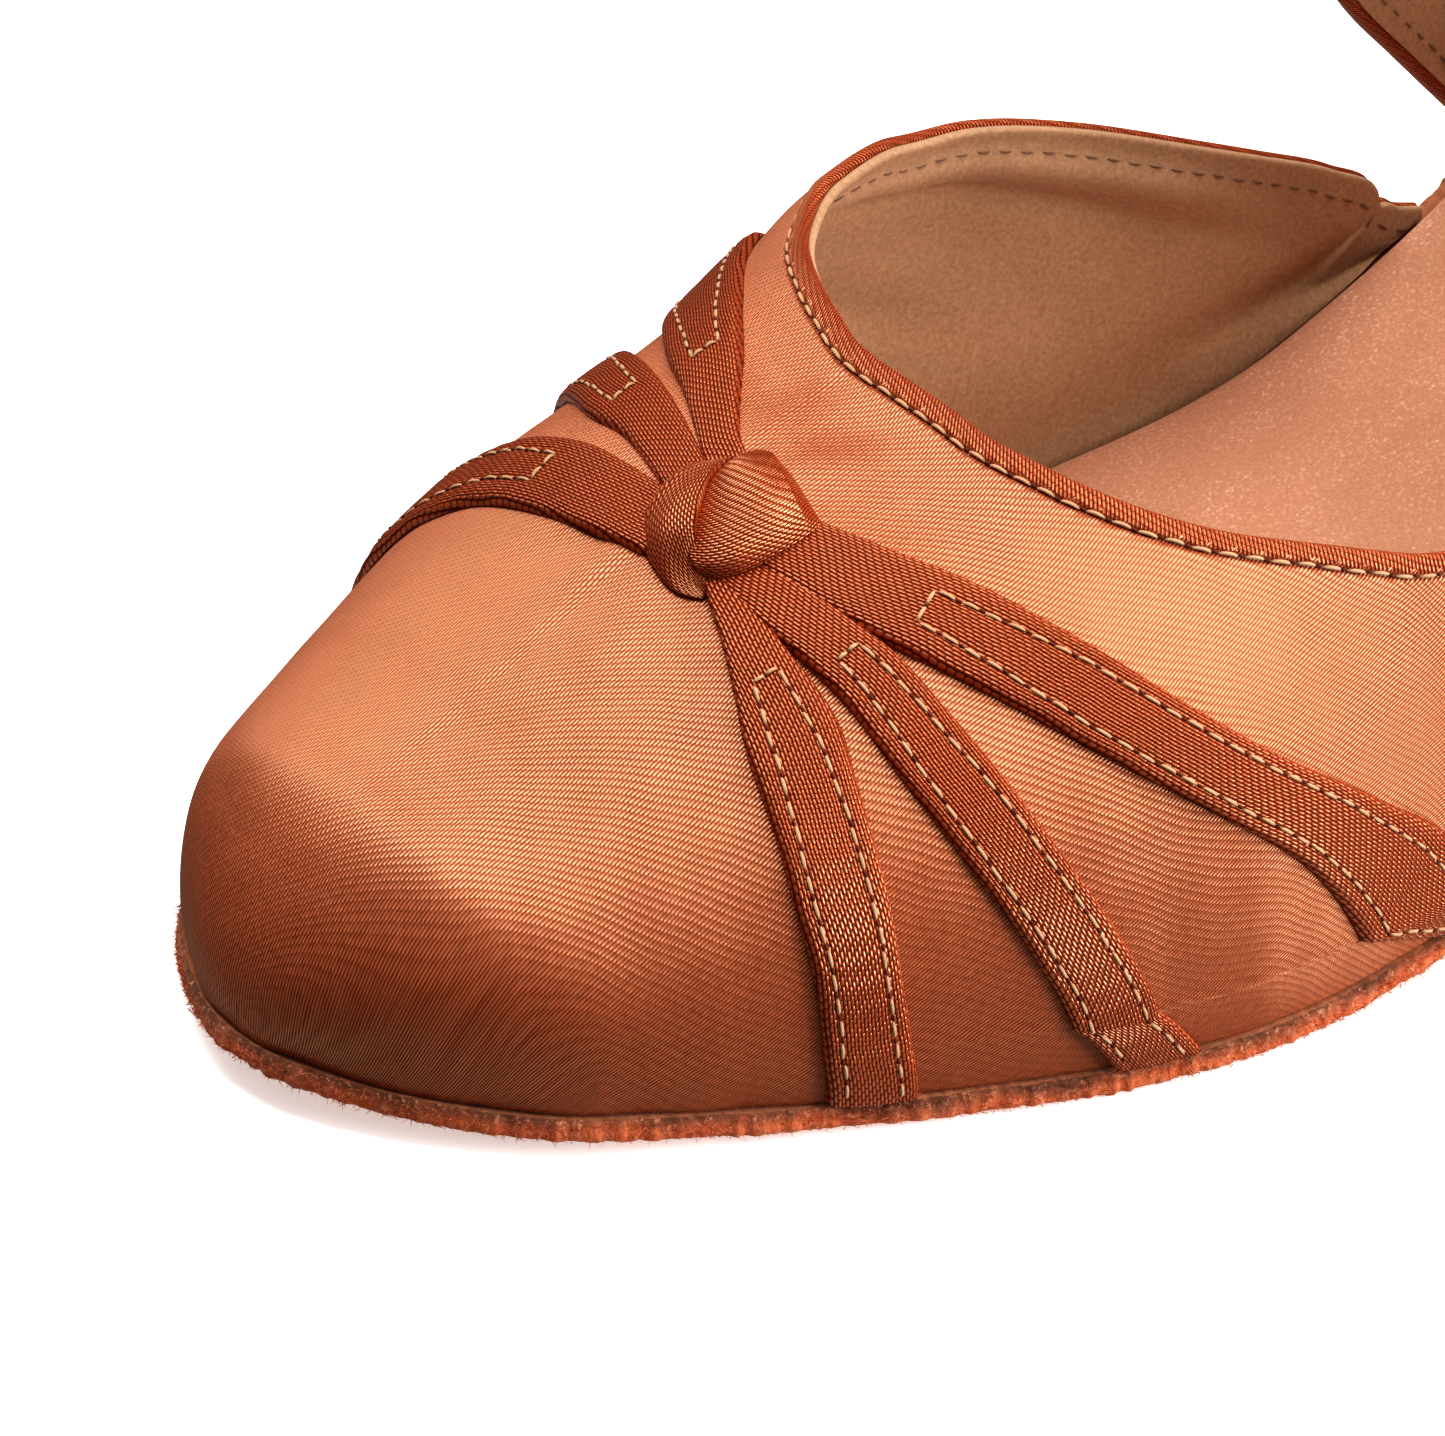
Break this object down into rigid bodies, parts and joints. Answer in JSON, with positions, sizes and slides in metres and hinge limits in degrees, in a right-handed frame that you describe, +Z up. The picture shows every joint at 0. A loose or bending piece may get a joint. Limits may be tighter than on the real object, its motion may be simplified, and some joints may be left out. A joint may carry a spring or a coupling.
{
  "type": "latin dance shoe",
  "caption": "Closed-toe latin dance shoe in satin, with ribbons fanning from a knot on the vamp, an open waist, a buckled instep strap and a flared heel.",
  "frame": {"origin": "on the floor, under the middle of the forefoot's flat tread", "axes": "+X towards the heel, +Y towards the inner side of the foot, +Z up"},
  "size_m": [0.2244, 0.0863, 0.1029],
  "materials": {
    "upper_satin": "satin weave with soft gloss",
    "ribbon_satin": "glossy satin ribbon",
    "heel_cover": "satin cover",
    "tip_rubber": "matt",
    "sock_suede": "brushed suede",
    "sole_suede": "raw suede with a fuzzy edge",
    "buckle_metal": "polished wire"
  },
  "bodies": {
    "root": {"vamp": "upper_satin", "heel_counter": "upper_satin", "instep_strap": "upper_satin", "insole": "sock_suede", "outsole": "sole_suede", "heel": "heel_cover", "heel_tip": "tip_rubber", "knot": "ribbon_satin", "ribbon_front_outer": "ribbon_satin", "ribbon_middle_outer": "ribbon_satin", "ribbon_back_outer": "ribbon_satin", "ribbon_front_inner": "ribbon_satin", "ribbon_middle_inner": "ribbon_satin", "ribbon_back_inner": "ribbon_satin", "buckle_frame": "buckle_metal", "buckle_prong": "buckle_metal"}
  },
  "joints": []
}
